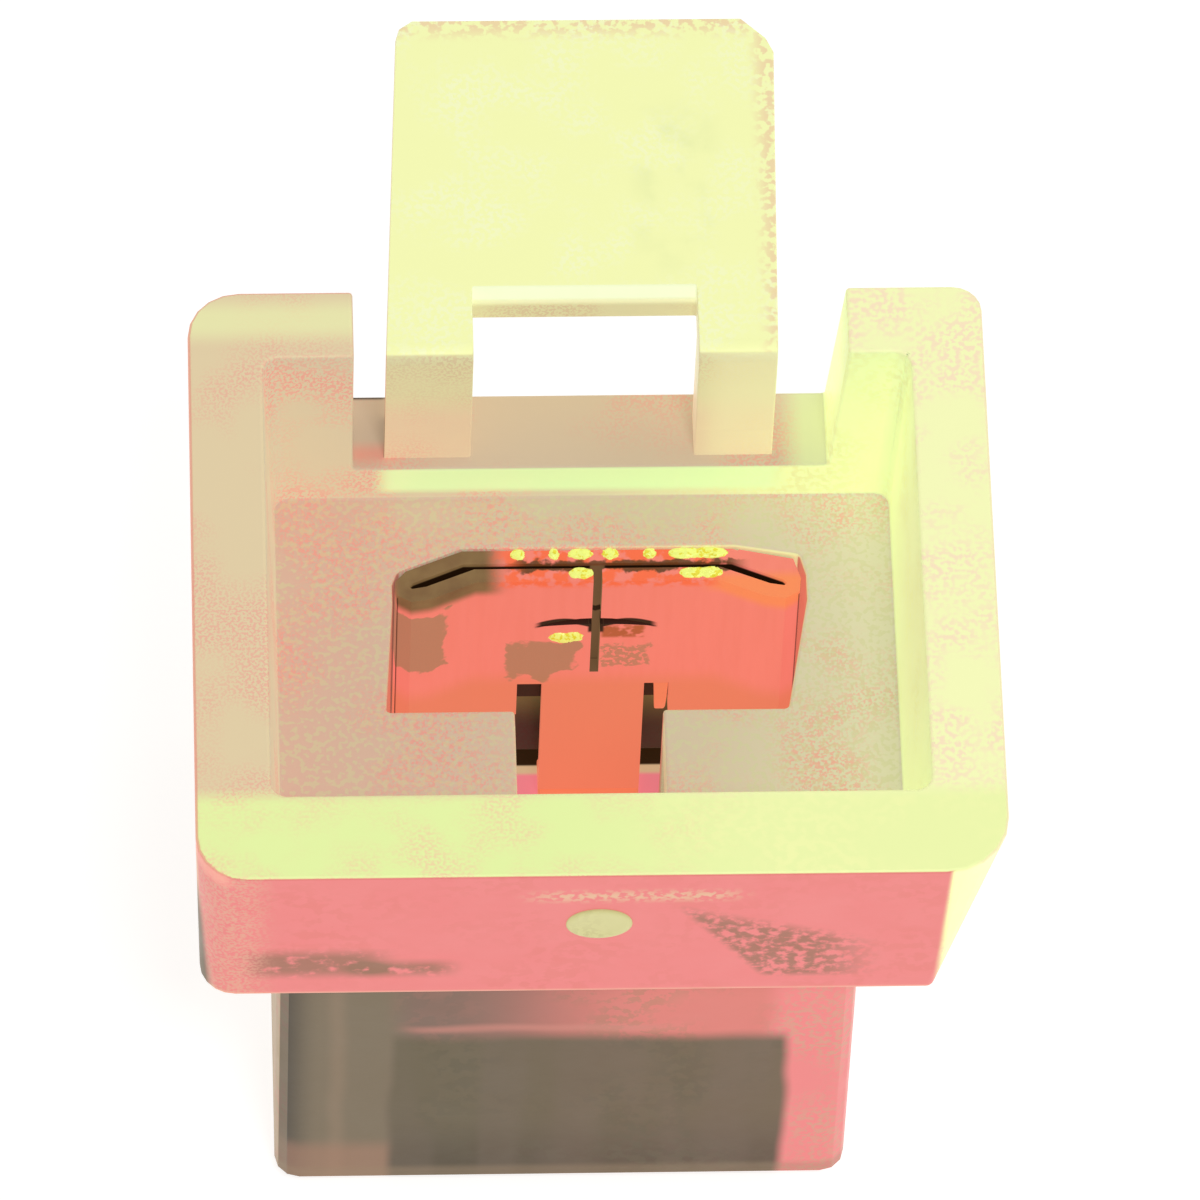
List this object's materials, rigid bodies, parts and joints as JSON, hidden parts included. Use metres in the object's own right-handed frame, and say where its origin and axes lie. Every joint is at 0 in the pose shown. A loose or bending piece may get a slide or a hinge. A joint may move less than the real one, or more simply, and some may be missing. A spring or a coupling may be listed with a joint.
{
  "type": "plug in relay",
  "caption": "Sub-miniature plug-in relay in a clear nylon housing, with a latch lever, a recess for its socket and a flat-blade receptacle in the recess floor.",
  "frame": {"origin": "on the rear end face, in line with the middle of the front flange", "axes": "+Z from the rear end face to the mating face, +Y toward the latch lever, +X across the width"},
  "size_m": [0.0162, 0.0207, 0.0138],
  "materials": {
    "nylon": "translucent milky nylon, satin",
    "latch_nylon": "translucent milky nylon, satin",
    "case_nylon": "translucent nylon over dark works, satin",
    "copper_alloy": "bright rolled copper alloy",
    "winding_wire": "enamelled copper wire",
    "iron": "plated soft iron",
    "contact_silver": "silver alloy",
    "dark_plastic": "moulded, matt"
  },
  "bodies": {
    "housing": {"front_shroud": "nylon", "rear_case": "case_nylon", "rear_base": "case_nylon", "blade_receptacle": "copper_alloy", "common_strap": "copper_alloy", "coil_bobbin": "dark_plastic", "coil_winding": "winding_wire", "iron_core": "iron", "yoke": "iron", "return_leaf": "copper_alloy", "leaf_rivet": "iron", "terminal_no": "copper_alloy", "contact_no": "contact_silver", "terminal_nc": "copper_alloy", "contact_nc": "contact_silver", "coil_terminal_a": "copper_alloy", "coil_lead_a": "winding_wire", "coil_terminal_b": "copper_alloy", "coil_lead_b": "winding_wire", "suppression_resistor": "dark_plastic"},
    "latch": {"latch_lever": "latch_nylon"},
    "armature_set": {"armature": "iron", "contact_spring": "copper_alloy", "spring_rivet": "iron", "moving_contact": "contact_silver"}
  },
  "joints": [
    {"name": "latch_flex", "type": "hinge", "parent": "housing", "child": "latch", "pos_m": [0, 0.0064, 0.01015], "axis": [-1, 0, 0], "range_deg": [0, 8], "stiffness_Nm_per_rad": 0.02},
    {"name": "armature_pivot", "type": "hinge", "parent": "housing", "child": "armature_set", "pos_m": [-0.0044, -0.00295, 0.00595], "axis": [0, -1, 0], "range_deg": [0, 3.5], "stiffness_Nm_per_rad": 0.005}
  ]
}
